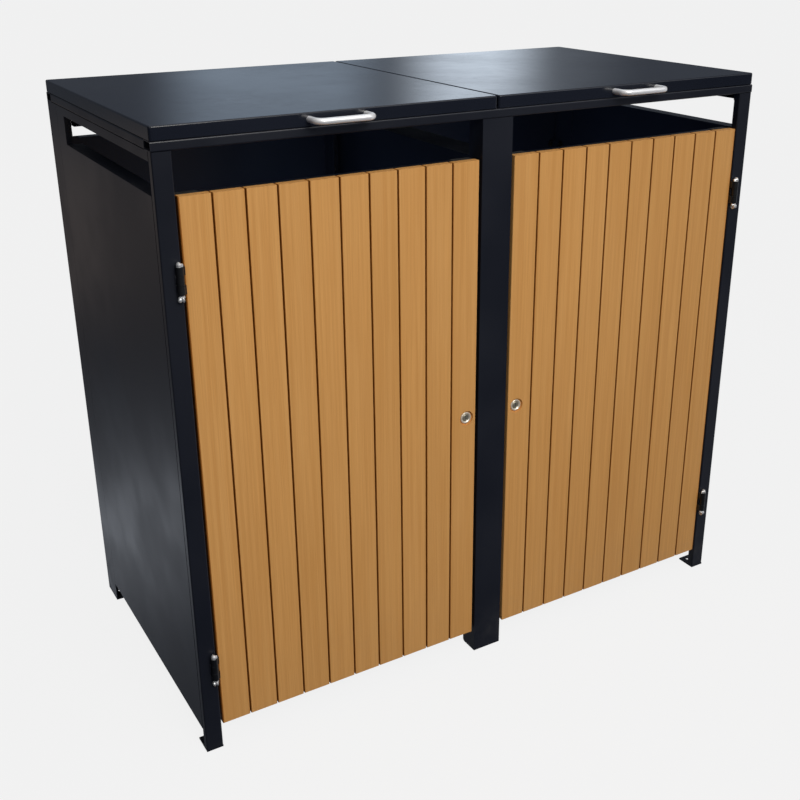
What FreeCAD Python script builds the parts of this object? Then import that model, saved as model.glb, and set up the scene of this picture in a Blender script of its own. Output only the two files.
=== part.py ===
import FreeCAD, Part
import math
import os

# A twin litter bin store for two wheeled bins, in millimetres.
# X runs along the front from left to right, the doors face -Y, Z is up.
# The origin is at floor level, in the middle of the four corner anchor holes.

# Overall size, without the handles and the hinge barrels
store_width = 1172.0
store_depth = 602.0
store_height = 1080.0

# Steel
sheet = 2.0  # folded sheet of posts, panels and lids
tube_wall = 1.5
tube_radius = 2.5  # outside corner of a rectangular tube
fold_radius = 2.5  # outside of a fold

# Posts
post_face = 30.0  # corner post, seen from the front
post_depth = 15.0
centre_post_width = 60.0
centre_post_depth = 40.0
back_post_side_leg = 59.0
back_post_back_leg = 37.0

# Feet and their anchor holes
foot_plate = 3.0
foot_depth = 40.0
anchor_setback = 29.0  # hole centre behind the front face, and before the back face
anchor_inset = 15.0  # corner hole centre from the outer side
anchor_hole = 4.5  # radius
foot_corner = 6.0

# How far a cutting tool runs past the face that it cuts
over = 1.0

# Ring of tube that carries the lids
ring_height = 15.0
ring_width = 30.0
back_apron = 49.0  # plate that hangs below the back of the ring
apron_fold = 20.0

# Lids
lid_skirt = 20.5
lid_clearance = 1.0  # between ring and lid skirt
lids_apart = 3.0
lid_corner = 5.0
bumper_foot = 7.0
bumper_top = 5.0
bumper_gap = 0.3
seam_bumper_inset = 21.0  # from the middle of the store

# Side and back panels
panel_bottom = 40.0
window_height = 50.0
window_strip = 14.5  # band of sheet above the window
window_back_margin = 111.0  # solid sheet and post behind the window
sill_fold = 27.0
edge_fold = 10.0
bottom_fold = 20.0
panel_front_fold = 28.0
panel_lap = 48.0  # behind the side leg of the back post
panel_joint = 0.5
back_vent = 19.5
back_panel_inset = 6.0  # edge of the back panel from the outer side

# Partition between the bays
cap_drop = 25.0
partition_fold = 22.0

# Weld studs and flange nuts that hold the panels
stud = 3.0  # radius
stud_length = 8.5
stud_clearance = 0.2
nut_flats = 10.0
nut_height = 5.0
stud_heights = (0.09, 0.48, 0.87)  # shares of the panel height
partition_stud_offset = 12.0
back_stud_offset = 14.0
post_stud_inset = 14.0

# Doors
door_bottom = 48.0
front_slot = 66.0  # open slot between door and ring
hinge_gap = 3.0
centre_gap = 6.0
slat_count = 10
slat_thickness = 15.0
slat_groove = 2.2  # visible joint between two slats
slat_bevel = 0.8
tongue = 4.5  # length
tongue_thickness = 4.5
tongue_setback = 6.0  # from the front face
tongue_clearance = 0.3
frame_stile = 40.0
frame_depth = 20.0
frame_drop = 1.5  # frame top below slat top
mid_rail_lift = 60.0  # middle rail above the lock
door_stop_reach = 16.0
door_stop_height = 20.0
door_stop_gap = 0.3
door_stop_inset = 60.0  # from the ends of the door

# Slat screws
screw = 1.9  # radius
screw_clearance = 0.05
screw_head = 4.0
screw_head_height = 2.4
screw_head_top = 2.8
screw_grip = 8.0  # length inside the slat

# Hinges, one barrel for doors and lids
barrel = 5.8  # radius
barrel_gap = 0.7  # between barrel and face
barrel_proud = barrel + barrel_gap  # axis in front of the face
barrel_inset = 5.0  # door axis inside the edge of the post
hinge_pin = 3.0  # radius
pin_clearance = 0.05
middle_knuckle = 15.0
end_knuckle = 13.5
knuckle_gap = 0.4
leaf = 2.0
strap_depth = 30.0
strap_start = 10.0  # behind the axis
pin_head = 5.1
pin_head_height = 4.0
pin_tail = 7.0
pin_tail_top = 4.3
pin_tail_tip = 1.8
weld_pad = 9.5
door_hinge_inset = 122.0  # hinge centre from the door's ends
lid_hinge_inset = 120.0  # hinge centre from the lid's ends
leaf_gap = 1.0  # between a leaf and the barrel of the other leaf
lid_leaf = 27.0
lid_leaf_on_lid = 12.0

# Cam locks
lock_inset = 19.0  # axis from the door's free edge
lock_recess = 14.0
lock_recess_depth = 4.0
lock_ring = 11.0
lock_ring_height = 2.5
lock_ring_bevel = 0.8
lock_barrel = 10.0
lock_bore_clearance = 0.2
lock_barrel_tail = 6.0  # behind the door frame
lock_nut_flats = 26.0
lock_nut_height = 5.0
plug = 6.5
plug_clearance = 0.05
plug_recess = 0.4
cam_gap = 2.0  # between lock barrel and cam
cam_thickness = 2.5
cam_length = 36.0
cam_hub = 9.0
cam_arm = 7.0
cam_screw = 2.0
cam_screw_head = 4.0
cam_screw_head_height = 2.5
cam_screw_depth = 10.0
key_slot_width = 1.4
key_slot_height = 7.0
key_slot_depth = 3.0

# Lid handles
handle_centres = 96.0
handle_rod = 5.0  # radius
handle_reach = 35.0
handle_bend = 13.0  # radius on the rod's middle line
handle_screw = 2.0
handle_screw_head = 3.8
handle_screw_head_height = 2.4
handle_screw_depth = 12.0
handle_screw_clearance = 0.05

# Planes worked out from the sizes above
side = store_width / 2
front = -store_depth / 2
back = store_depth / 2
lid_bottom = store_height - lid_skirt
ring_top = lid_bottom - lid_clearance
ring_bottom = ring_top - ring_height
post_inner = side - post_face
post_back = front + post_depth
window_top = ring_bottom - window_strip
window_bottom = window_top - window_height
window_back = back - window_back_margin
panel_back = back - back_post_side_leg - panel_joint
back_inside = back - sheet
back_panel_top = ring_bottom - back_apron - back_vent
door_top = ring_bottom - front_slot
door_middle = (door_bottom + door_top) / 2
door_outer = post_inner - hinge_gap
door_inner = centre_post_width / 2 + centre_gap
slat_pitch = (door_outer - door_inner) / slat_count
frame_front = front + slat_thickness
frame_back = frame_front + frame_depth
hinge_x = post_inner + barrel_inset
hinge_y = front - barrel_proud
lid_inner = lids_apart / 2
lid_centre = (side + lid_inner) / 2
lid_hinge_y = back + barrel_proud
lid_hinge_z = ring_top + lid_clearance / 2
anchor_x = side - anchor_inset
anchor_y = back - anchor_setback
lock_x = door_inner + lock_inset
handle_z = (store_height + lid_bottom) / 2
slat_rows = (
    door_bottom + frame_stile / 2,
    door_middle + mid_rail_lift,
    door_top - frame_drop - frame_stile / 2,
)


def vector(axis, along, u, v):
    """A point given along an axis and across it: y, z for X; x, z for Y; x, y for Z."""
    if axis == "x":
        return FreeCAD.Vector(along, u, v)
    if axis == "y":
        return FreeCAD.Vector(u, along, v)
    return FreeCAD.Vector(u, v, along)


def block(x, y, z):
    """A box between two values on each axis."""
    low = FreeCAD.Vector(min(x), min(y), min(z))
    return Part.makeBox(abs(x[1] - x[0]), abs(y[1] - y[0]), abs(z[1] - z[0]), low)


def rod(axis, along, centre, radius):
    """A round bar between two values of the axis."""
    start = vector(axis, min(along), *centre)
    direction = vector(axis, 1, 0, 0)
    return Part.makeCylinder(radius, abs(along[1] - along[0]), start, direction)


def cone(axis, start, end, centre, start_radius, end_radius):
    """A tapered round bar from start to end."""
    base = vector(axis, start, *centre)
    direction = vector(axis, math.copysign(1, end - start), 0, 0)
    return Part.makeCone(start_radius, end_radius, abs(end - start), base, direction)


def prism(axis, along, outline):
    """A straight bar of any outline, given as points across the axis."""
    points = [vector(axis, along[0], u, v) for u, v in outline]
    face = Part.Face(Part.makePolygon(points + points[:1]))
    return face.extrude(vector(axis, along[1] - along[0], 0, 0))


def bar(axis, along, u, v, radius):
    """A straight bar of rectangular section with rounded corners."""
    u0, u1 = min(u), max(u)
    v0, v1 = min(v), max(v)
    corners = ((u1, v0, -90), (u1, v1, 0), (u0, v1, 90), (u0, v0, 180))
    edges = []
    last = None
    first = None
    for cu, cv, start in corners:
        mid_u = cu - math.copysign(radius, cu - (u0 + u1) / 2)
        mid_v = cv - math.copysign(radius, cv - (v0 + v1) / 2)
        arc = []
        for turn in (0, 45, 90):
            angle = math.radians(start + turn)
            arc.append(
                vector(
                    axis,
                    along[0],
                    mid_u + radius * math.cos(angle),
                    mid_v + radius * math.sin(angle),
                )
            )
        if last is not None:
            edges.append(Part.LineSegment(last, arc[0]).toShape())
        if first is None:
            first = arc[0]
        edges.append(Part.Arc(*arc).toShape())
        last = arc[2]
    edges.append(Part.LineSegment(last, first).toShape())
    face = Part.Face(Part.Wire(edges))
    return face.extrude(vector(axis, along[1] - along[0], 0, 0))


def tube(axis, along, u, v):
    """A rectangular steel tube, open at both ends."""
    inner_u = (min(u) + tube_wall, max(u) - tube_wall)
    inner_v = (min(v) + tube_wall, max(v) - tube_wall)
    outside = bar(axis, along, u, v, tube_radius)
    return outside.cut(bar(axis, along, inner_u, inner_v, tube_radius - tube_wall))


def hexagon(axis, along, centre, flats):
    """A hexagonal bar."""
    corner = flats / math.sqrt(3)
    outline = []
    for step in range(6):
        angle = math.radians(60 * step)
        outline.append((centre[0] + corner * math.cos(angle), centre[1] + corner * math.sin(angle)))
    return prism(axis, along, outline)


def fuse(pieces):
    """One solid out of pieces that touch or overlap."""
    whole = pieces[0].multiFuse(pieces[1:])
    return whole.removeSplitter()


def mirrored(shape):
    """The same piece for the other side of the store."""
    return shape.mirror(FreeCAD.Vector(0, 0, 0), FreeCAD.Vector(1, 0, 0))


def one_solid(shape):
    """The single solid of a shape."""
    if len(shape.Solids) != 1:
        raise ValueError("a piece fell into %d solids" % len(shape.Solids))
    return shape.Solids[0]


def save(name, pieces):
    """Write one node."""
    solids = [one_solid(piece) for piece in pieces]
    for solid in solids:
        if not solid.isValid():
            raise ValueError(name + " is not valid")
    shape = solids[0] if len(solids) == 1 else Part.makeCompound(solids)
    shape.exportStep("parts/" + name + ".step")


def save_pair(name, pieces):
    """Write the left node and the right one."""
    save("left_" + name, pieces)
    save("right_" + name, [mirrored(piece) for piece in pieces])


# Posts. Left-hand pieces are drawn at negative X and mirrored for the right.


def anchor(x, y):
    """The cutter of an anchor hole."""
    return rod("z", (-over, foot_plate + over), (x, y), anchor_hole)


def corner_front_post():
    x = (-side, -post_inner)
    post = tube("z", (foot_plate, ring_bottom), x, (front, post_back))
    foot = block(x, (front, front + foot_depth), (0, foot_plate))
    return fuse([post, foot]).cut(anchor(-anchor_x, -anchor_y))


def corner_back_post():
    side_leg = block((-side, -side + sheet), (back - back_post_side_leg, back), (0, ring_bottom))
    back_leg = block((-side, -side + back_post_back_leg), (back_inside, back), (0, ring_bottom))
    foot_x = (-side, -side + back_post_back_leg)
    foot = block(foot_x, (back - back_post_side_leg, back), (0, foot_plate))
    return fuse([side_leg, back_leg, foot]).cut(anchor(-anchor_x, anchor_y))


def centre_channel(web_outside, flange_end, top):
    """A centre post: a folded channel with a web, two round-cornered flanges and a foot."""
    half = centre_post_width / 2
    inward = math.copysign(1, flange_end - web_outside)
    web_inside = web_outside + inward * sheet
    pieces = [block((-half, half), (web_outside, web_inside), (0, top))]
    for x in ((-half, -half + sheet), (half - sheet, half)):
        flange = block(x, (web_outside, flange_end), (0, top))
        pieces.append(flange)
    channel = fuse(pieces).cut(lower_corner_cutter(flange_end, inward))
    foot = block((-half + sheet, half - sheet), (web_inside, flange_end), (0, foot_plate))
    return fuse([channel, foot])


def lower_corner_cutter(flange_end, inward):
    """Rounds the lower free corners of a centre post's flanges."""
    half = centre_post_width / 2 + 1
    corner = flange_end - inward * foot_corner
    square = block((-half, half), (corner, flange_end + inward), (-1, foot_corner))
    return square.cut(rod("x", (-half, half), (corner, foot_corner), foot_corner))


def centre_front_post():
    half = centre_post_width / 2
    flange_end = front + centre_post_depth
    pieces = [centre_channel(front, flange_end, ring_bottom)]
    stop_x = (half - sheet, half + door_stop_reach)
    stop_y = (frame_back + door_stop_gap, frame_back + door_stop_gap + sheet)
    for z in (door_bottom + door_stop_inset, door_top - door_stop_inset):
        height = (z - door_stop_height / 2, z + door_stop_height / 2)
        for inner, outer in (stop_x, (-stop_x[0], -stop_x[1])):
            pieces.append(block((inner, outer), stop_y, height))
    return fuse(pieces).cut(anchor(0, -anchor_y))


def centre_back_post():
    web_outside = back_inside - sheet
    flange_end = web_outside - centre_post_depth
    post = centre_channel(web_outside, flange_end, ring_bottom - back_apron)
    return drilled(post.cut(anchor(0, anchor_y)), centre_back_studs())


# The ring under the lids


def front_top_rail():
    return tube("x", (-side, side), (front, front + ring_width), (ring_bottom, ring_top))


def side_top_rail():
    y = (front + ring_width, back - ring_width)
    return tube("y", y, (-side, -side + ring_width), (ring_bottom, ring_top))


def back_top_rail():
    reach = side - back_post_back_leg - panel_joint
    ring = tube("x", (-side, side), (back - ring_width, back), (ring_bottom, ring_top))
    low = ring_bottom - back_apron
    apron = block((-reach, reach), (back_inside, back), (low, ring_bottom + tube_wall))
    lower_fold = block((-reach, reach), (back - apron_fold, back), (low, low + sheet))
    return fuse([ring, apron, lower_fold])


# Panels and the studs that hold them


def stud_levels():
    height = window_bottom - panel_bottom
    return [panel_bottom + share * height for share in stud_heights]


def flange_nut(axis, seat, direction, centre):
    """A weld stud and its nut: seat is the face the nut bears on."""
    root = seat - direction * sheet
    pin = rod(axis, (root, root + direction * (stud_length + sheet)), centre, stud)
    nut = hexagon(axis, (seat, seat + direction * nut_height), centre, nut_flats)
    return fuse([nut, pin])


def stud_hole(axis, seat, direction, centre):
    """The hole in the sheet that a stud passes through."""
    along = (seat - direction * (sheet + over), seat + direction * over)
    return rod(axis, along, centre, stud + stud_clearance)


def side_panel_studs():
    """Axis, seat, direction and centre of the studs of the left side panel."""
    front_seat = post_back + sheet
    lap_seat = -side + 2 * sheet
    places = []
    for z in stud_levels():
        places.append(("y", front_seat, 1, (-side + post_stud_inset, z)))
        places.append(("x", lap_seat, 1, (back - back_post_side_leg / 2, z)))
    return places


def back_panel_studs():
    """Studs of the back panel: on both corner posts."""
    places = []
    for z in stud_levels():
        for x in (-side + back_post_back_leg / 2, side - back_post_back_leg / 2):
            places.append(("y", back_inside - sheet, -1, (x, z)))
    return places


def centre_back_studs():
    """Studs welded to the back panel, through the web of the centre back post."""
    seat = back_inside - 2 * sheet
    return [("y", seat, -1, (-back_stud_offset, z)) for z in stud_levels()]


def partition_studs():
    """Studs of the partition, on the webs of both centre posts."""
    places = []
    for z in stud_levels():
        places.append(("y", front + 2 * sheet, 1, (partition_stud_offset, z)))
        places.append(("y", back_inside - 3 * sheet, -1, (partition_stud_offset, z)))
    return places


def drilled(shape, places):
    """A sheet piece with the holes of its studs."""
    for place in places:
        shape = shape.cut(stud_hole(*place))
    return shape


def side_panel():
    outside = (-side, -side + sheet)
    whole_y = (post_back, panel_back)
    window_y = (post_back, window_back)
    below = (panel_bottom, window_bottom)
    strip = (window_top, ring_bottom)
    lap_y = (panel_back - 3 * sheet, panel_back + panel_lap)
    lap_z = (panel_bottom, ring_bottom - sheet)
    ear_edge = (window_back, window_back + sheet)
    pieces = [
        block(outside, whole_y, below),
        block(outside, whole_y, strip),
        block(outside, (window_back, panel_back), (window_bottom, window_top)),
        block((-side, -side + panel_front_fold), (post_back, post_back + sheet), below),
        block((-side, -side + panel_front_fold), (post_back, post_back + sheet), strip),
        block((-side, -side + sill_fold), window_y, (window_bottom - sheet, window_bottom)),
        block((-side, -side + edge_fold), ear_edge, (window_bottom - sheet, window_top + sheet)),
        block((-side, -side + edge_fold), window_y, (window_top, window_top + sheet)),
        block((-side, -side + sill_fold), whole_y, (ring_bottom - sheet, ring_bottom)),
        block((-side, -side + bottom_fold), whole_y, (panel_bottom, panel_bottom + sheet)),
        block((-side + sheet, -side + 2 * sheet), lap_y, lap_z),
    ]
    return drilled(fuse(pieces), side_panel_studs())


def back_panel():
    reach = side - back_panel_inset
    y = (back_inside - sheet, back_inside)
    low = (panel_bottom, panel_bottom + sheet)
    high = (back_panel_top - sheet, back_panel_top)
    half_centre = centre_post_width / 2 + panel_joint
    clear = reach - back_post_back_leg
    pieces = [block((-reach, reach), y, (panel_bottom, back_panel_top))]
    for start, end in ((-clear, -half_centre), (half_centre, clear)):
        fold_y = (back_inside - bottom_fold, back_inside)
        pieces.append(block((start, end), fold_y, low))
        pieces.append(block((start, end), fold_y, high))
    return drilled(fuse(pieces), back_panel_studs())


def centre_partition():
    half = centre_post_width / 2
    cap_y = (front + centre_post_depth, back_inside - sheet - centre_post_depth)
    wall_y = (front + sheet, back_inside - 2 * sheet)
    wall_z = (panel_bottom, window_bottom)
    front_fold_y = (front + sheet, front + 2 * sheet)
    back_fold_y = (back_inside - 3 * sheet, back_inside - 2 * sheet)
    fold_x = (-sheet / 2, partition_fold)
    pieces = [
        block((-half, half), cap_y, (window_bottom - sheet, window_bottom)),
        block((-half, -half + sheet), cap_y, (window_bottom - cap_drop, window_bottom)),
        block((half - sheet, half), cap_y, (window_bottom - cap_drop, window_bottom)),
        block((-sheet / 2, sheet / 2), wall_y, wall_z),
        block(fold_x, front_fold_y, wall_z),
        block(fold_x, back_fold_y, wall_z),
    ]
    return drilled(fuse(pieces), partition_studs())


def panel_nuts():
    places = back_panel_studs() + centre_back_studs() + partition_studs()
    nuts = [flange_nut(*place) for place in places]
    for place in side_panel_studs():
        nut = flange_nut(*place)
        nuts.append(nut)
        nuts.append(mirrored(nut))
    return nuts


# Hinges. A hinge is made at the origin with its pin along Z, then placed.


def barrel_part(low, high):
    """A knuckle with the bore of the pin, on the Z axis."""
    outside = rod("z", (low, high), (0, 0), barrel)
    return outside.cut(rod("z", (low - over, high + over), (0, 0), hinge_pin + pin_clearance))


def knuckle_spans():
    """Heights of the two end knuckles, and of the middle one between them."""
    half = middle_knuckle / 2
    start = half + knuckle_gap
    return ((-start - end_knuckle, -start), (start, start + end_knuckle)), (-half, half)


def pin_shape():
    """The hinge pin with its domed head and tapered tail."""
    ends, _ = knuckle_spans()
    low = ends[0][0]
    high = ends[1][1]
    shank = rod("z", (low - knuckle_gap, high + knuckle_gap), (0, 0), hinge_pin)
    ball_radius = (pin_head**2 + pin_head_height**2) / (2 * pin_head_height)
    ball_z = high + knuckle_gap + pin_head_height - ball_radius
    dome = Part.makeSphere(ball_radius, FreeCAD.Vector(0, 0, ball_z))
    cap = rod("z", (high + knuckle_gap, high + knuckle_gap + pin_head_height), (0, 0), pin_head)
    tail = cone("z", low - knuckle_gap, low - knuckle_gap - pin_tail, (0, 0), pin_tail_top, pin_tail_tip)
    return fuse([shank, dome.common(cap), tail])


def frame_knuckle():
    """The middle knuckle of a door hinge, welded to the face of the post behind it (+Y)."""
    _, middle = knuckle_spans()
    pad_x = (barrel_inset - panel_joint, barrel_inset - panel_joint - weld_pad)
    pad = block(pad_x, (barrel_proud - leaf, barrel_proud), middle)
    bore = rod("z", (middle[0] - over, middle[1] + over), (0, 0), hinge_pin + pin_clearance)
    return fuse([barrel_part(*middle), pad]).cut(bore)


def door_leaf():
    """The end knuckles of a door hinge and the strap that runs back between post and door."""
    ends, _ = knuckle_spans()
    strap_x = (barrel_inset + hinge_gap - leaf, barrel_inset + hinge_gap)
    strap_y = (strap_start, strap_start + strap_depth)
    pieces = [block(strap_x, strap_y, (ends[0][0], ends[1][1]))]
    for span in ends:
        pieces.append(rod("z", span, (0, 0), barrel))
        pieces.append(block(strap_x, (0, strap_start), span))
        pieces.append(block((barrel - leaf, strap_x[1]), (0, leaf), span))
    bore = rod("z", (ends[0][0] - over, ends[1][1] + over), (0, 0), hinge_pin + pin_clearance)
    return fuse(pieces).cut(bore)


def lid_frame_leaf():
    """The middle knuckle of a lid hinge and its leaf; the leaf hangs towards -X."""
    ends, middle = knuckle_spans()
    plate_y = (-barrel_proud, -barrel_proud + leaf)
    plate = block((-barrel - leaf_gap, -lid_leaf), plate_y, (ends[0][0], ends[1][1]))
    neck = block((-leaf_gap, -barrel - 2 * leaf_gap), plate_y, middle)
    bore = rod("z", (middle[0] - over, middle[1] + over), (0, 0), hinge_pin + pin_clearance)
    return fuse([barrel_part(*middle), plate, neck]).cut(bore)


def lid_leaf_shape():
    """The end knuckles of a lid hinge and the leaf on the lid's back skirt, towards +X."""
    ends, _ = knuckle_spans()
    plate_y = (-barrel_proud, -barrel_proud + leaf)
    reach = barrel + leaf_gap + lid_leaf_on_lid
    pieces = [block((barrel + leaf_gap, reach), plate_y, (ends[0][0], ends[1][1]))]
    for span in ends:
        pieces.append(rod("z", span, (0, 0), barrel))
        pieces.append(block((0, barrel + 2 * leaf_gap), plate_y, span))
    bore = rod("z", (ends[0][0] - over, ends[1][1] + over), (0, 0), hinge_pin + pin_clearance)
    return fuse(pieces).cut(bore)


def moved(shape, x, y, z):
    """A copy of a piece, shifted."""
    copy = shape.copy()
    copy.translate(FreeCAD.Vector(x, y, z))
    return copy


def door_hinge_places():
    """The hinge centres of the left door."""
    return [(-hinge_x, hinge_y, z) for z in (door_bottom + door_hinge_inset, door_top - door_hinge_inset)]


def lid_hinge_places():
    """The hinge centres of the left lid."""
    outer = -side + lid_hinge_inset
    inner = -lid_inner - lid_hinge_inset
    return [(x, lid_hinge_y, lid_hinge_z) for x in (outer, inner)]


def laid_along_x(shape):
    """Turns a hinge piece so that its Z axis lies along -X and its X axis points up."""
    copy = shape.copy()
    copy.rotate(FreeCAD.Vector(0, 0, 0), FreeCAD.Vector(0, 1, 0), -90)
    return copy


def both_sides(shape, places):
    """Copies of a left-hand piece at its places, and their mirror images."""
    left = [moved(shape, *place) for place in places]
    return left + [mirrored(piece) for piece in left]


def hinge_pins():
    upright = both_sides(pin_shape(), door_hinge_places())
    lying = both_sides(laid_along_x(pin_shape()), lid_hinge_places())
    return upright + lying


# Doors


def slat(number):
    """One tongued and grooved slat of the left door; number 0 is at the hinge."""
    start = -door_outer + number * slat_pitch
    x0 = start if number == 0 else start + slat_groove / 2
    x1 = start + slat_pitch if number == slat_count - 1 else start + slat_pitch - slat_groove / 2
    y0 = front
    y1 = front + slat_thickness
    outline = [(x0 + slat_bevel, y0), (x1 - slat_bevel, y0), (x1, y0 + slat_bevel)]
    tongue_y = (y0 + tongue_setback, y0 + tongue_setback + tongue_thickness)
    if number < slat_count - 1:
        outline += [(x1, tongue_y[0]), (x1 + tongue, tongue_y[0])]
        outline += [(x1 + tongue, tongue_y[1]), (x1, tongue_y[1])]
    outline += [(x1, y1), (x0, y1)]
    if number > 0:
        depth = tongue - slat_groove + tongue_clearance
        groove_y = (tongue_y[0] - tongue_clearance, tongue_y[1] + tongue_clearance)
        outline += [(x0, groove_y[1]), (x0 + depth, groove_y[1])]
        outline += [(x0 + depth, groove_y[0]), (x0, groove_y[0])]
    outline += [(x0, y0 + slat_bevel)]
    board = prism("z", (door_bottom, door_top), outline)
    for x, z in screw_places():
        if start < x < start + slat_pitch:
            hole_y = (y1 - screw_grip - screw_clearance, y1 + over)
            board = board.cut(rod("y", hole_y, (x, z), screw + screw_clearance))
    if start < -lock_x < start + slat_pitch:
        centre = (-lock_x, door_middle)
        board = board.cut(rod("y", (front - over, front + lock_recess_depth), centre, lock_recess))
        board = board.cut(rod("y", (front, y1 + over), centre, lock_barrel + lock_bore_clearance))
    return board


def screw_places():
    """Centres of the slat screws of the left door, in the plane of the door."""
    centres = [-door_outer + (number + 0.5) * slat_pitch for number in range(slat_count)]
    return [(x, z) for x in centres for z in slat_rows]


def door_frame():
    """Two uprights and three rails of tube, welded; the rails stay closed where they meet the uprights."""
    y = (frame_front, frame_back)
    hollow_y = (frame_front + tube_wall, frame_back - tube_wall)
    hollow_radius = tube_radius - tube_wall
    top = door_top - frame_drop
    outer_stile = (-door_outer, -door_outer + frame_stile)
    inner_stile = (-door_inner - frame_stile, -door_inner)
    overlap = tube_radius + tube_wall
    rail_x = (outer_stile[1] - overlap, inner_stile[0] + overlap)
    pieces = [bar("z", (door_bottom, top), x, y, tube_radius) for x in (outer_stile, inner_stile)]
    for z in slat_rows:
        pieces.append(bar("x", rail_x, y, (z - frame_stile / 2, z + frame_stile / 2), tube_radius))
    frame = fuse(pieces)
    for stile in (outer_stile, inner_stile):
        hollow_x = (stile[0] + tube_wall, stile[1] - tube_wall)
        frame = frame.cut(bar("z", (door_bottom - over, top + over), hollow_x, hollow_y, hollow_radius))
    for z in slat_rows:
        hollow_z = (z - frame_stile / 2 + tube_wall, z + frame_stile / 2 - tube_wall)
        frame = frame.cut(bar("x", (outer_stile[1], inner_stile[0]), hollow_y, hollow_z, hollow_radius))
    hole_y = (frame_front - over, frame_back + over)
    for centre in screw_places():
        frame = frame.cut(rod("y", hole_y, centre, screw + screw_clearance))
    return frame.cut(rod("y", hole_y, (-lock_x, door_middle), lock_barrel + lock_bore_clearance))


def slat_screws():
    screws = []
    for centre in screw_places():
        shank = rod("y", (frame_front - screw_grip, frame_back), centre, screw)
        head = cone("y", frame_back, frame_back + screw_head_height, centre, screw_head, screw_head_top)
        screws.append(fuse([shank, head]))
    return screws


# Locks


def lock_centre():
    return (-lock_x, door_middle)


def lock_housing():
    centre = lock_centre()
    seat = front + lock_recess_depth
    barrel_end = frame_back + lock_barrel_tail
    ring = cone("y", seat, seat - lock_ring_height, centre, lock_ring, lock_ring - lock_ring_bevel)
    body = rod("y", (seat, barrel_end), centre, lock_barrel)
    bore = rod("y", (front, barrel_end + over), centre, plug + plug_clearance)
    return fuse([ring, body]).cut(bore)


def lock_nut():
    centre = lock_centre()
    nut = hexagon("y", (frame_back, frame_back + lock_nut_height), centre, lock_nut_flats)
    hole_y = (frame_back - over, frame_back + lock_nut_height + over)
    return nut.cut(rod("y", hole_y, centre, lock_barrel + plug_clearance))


def plug_end():
    """The back end of the plug, where the cam sits."""
    return frame_back + lock_barrel_tail + cam_gap


def lock_plug():
    centre = lock_centre()
    face = front + lock_recess_depth - lock_ring_height + plug_recess
    body = rod("y", (face, plug_end()), centre, plug)
    half_width = key_slot_width / 2
    half_height = key_slot_height / 2
    slot_x = (centre[0] - half_width, centre[0] + half_width)
    slot_z = (centre[1] - half_height, centre[1] + half_height)
    slot = block(slot_x, (face - over, face + key_slot_depth), slot_z)
    thread_depth = cam_screw_depth + plug_clearance
    thread = rod("y", (plug_end() - thread_depth, plug_end() + over), centre, cam_screw + plug_clearance)
    return body.cut(slot).cut(thread)


def lock_cam():
    """The cam, hanging down when the lock is open."""
    centre = lock_centre()
    y = (plug_end(), plug_end() + cam_thickness)
    hub = rod("y", y, centre, cam_hub)
    tip_z = centre[1] - cam_length + cam_arm
    arm = block((centre[0] - cam_arm, centre[0] + cam_arm), y, (centre[1], tip_z))
    tip = rod("y", y, (centre[0], tip_z), cam_arm)
    hole = rod("y", (y[0] - over, y[1] + over), centre, cam_screw + plug_clearance)
    return fuse([hub, arm, tip]).cut(hole)


def cam_screw_shape():
    centre = lock_centre()
    seat = plug_end() + cam_thickness
    shank = rod("y", (plug_end() - cam_screw_depth, seat), centre, cam_screw)
    head = rod("y", (seat, seat + cam_screw_head_height), centre, cam_screw_head)
    return fuse([shank, head])


# Lids


def lid():
    x = (-side, -lid_inner)
    z = (lid_bottom, store_height)
    outside = bar("z", z, x, (front, back), lid_corner)
    rim = [edge for edge in outside.Edges if edge.BoundBox.ZMin > store_height - sheet / 2]
    outside = outside.makeFillet(fold_radius, rim)
    hollow_x = (x[0] + sheet, x[1] - sheet)
    hollow_z = (lid_bottom - over, store_height - sheet)
    hollow = bar("z", hollow_z, hollow_x, (front + sheet, back - sheet), lid_corner - sheet)
    shell = outside.cut(hollow)
    for centre in handle_feet():
        hole_y = (front - over, front + sheet + over)
        shell = shell.cut(rod("y", hole_y, centre, handle_screw + handle_screw_clearance))
    return shell


def handle_feet():
    """Where the handle of the left lid meets the skirt."""
    half = handle_centres / 2
    return [(-lid_centre - half, handle_z), (-lid_centre + half, handle_z)]


def handle():
    """A bow of round rod with two bends."""
    (x0, z), (x1, _) = handle_feet()
    bar_y = front - handle_reach + handle_rod
    corner = handle_bend * (1 - math.cos(math.radians(45)))
    start = FreeCAD.Vector(x0, front, z)
    bend_in = FreeCAD.Vector(x0, bar_y + handle_bend, z)
    bend_in_middle = FreeCAD.Vector(x0 + corner, bar_y + corner, z)
    bar_start = FreeCAD.Vector(x0 + handle_bend, bar_y, z)
    bar_end = FreeCAD.Vector(x1 - handle_bend, bar_y, z)
    bend_out_middle = FreeCAD.Vector(x1 - corner, bar_y + corner, z)
    bend_out = FreeCAD.Vector(x1, bar_y + handle_bend, z)
    end = FreeCAD.Vector(x1, front, z)
    path = Part.Wire(
        [
            Part.LineSegment(start, bend_in).toShape(),
            Part.Arc(bend_in, bend_in_middle, bar_start).toShape(),
            Part.LineSegment(bar_start, bar_end).toShape(),
            Part.Arc(bar_end, bend_out_middle, bend_out).toShape(),
            Part.LineSegment(bend_out, end).toShape(),
        ]
    )
    section = Part.Wire(Part.makeCircle(handle_rod, start, FreeCAD.Vector(0, 1, 0)))
    bow = path.makePipeShell([section], True, False)
    for centre in handle_feet():
        thread_y = (front - handle_screw_depth - handle_screw_clearance, front + over)
        bow = bow.cut(rod("y", thread_y, centre, handle_screw + handle_screw_clearance))
    return bow


def handle_screws():
    screws = []
    for centre in handle_feet():
        seat = front + sheet
        shank = rod("y", (front - handle_screw_depth, seat), centre, handle_screw)
        head = rod("y", (seat, seat + handle_screw_head_height), centre, handle_screw_head)
        screws.append(fuse([shank, head]))
    return screws


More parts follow.
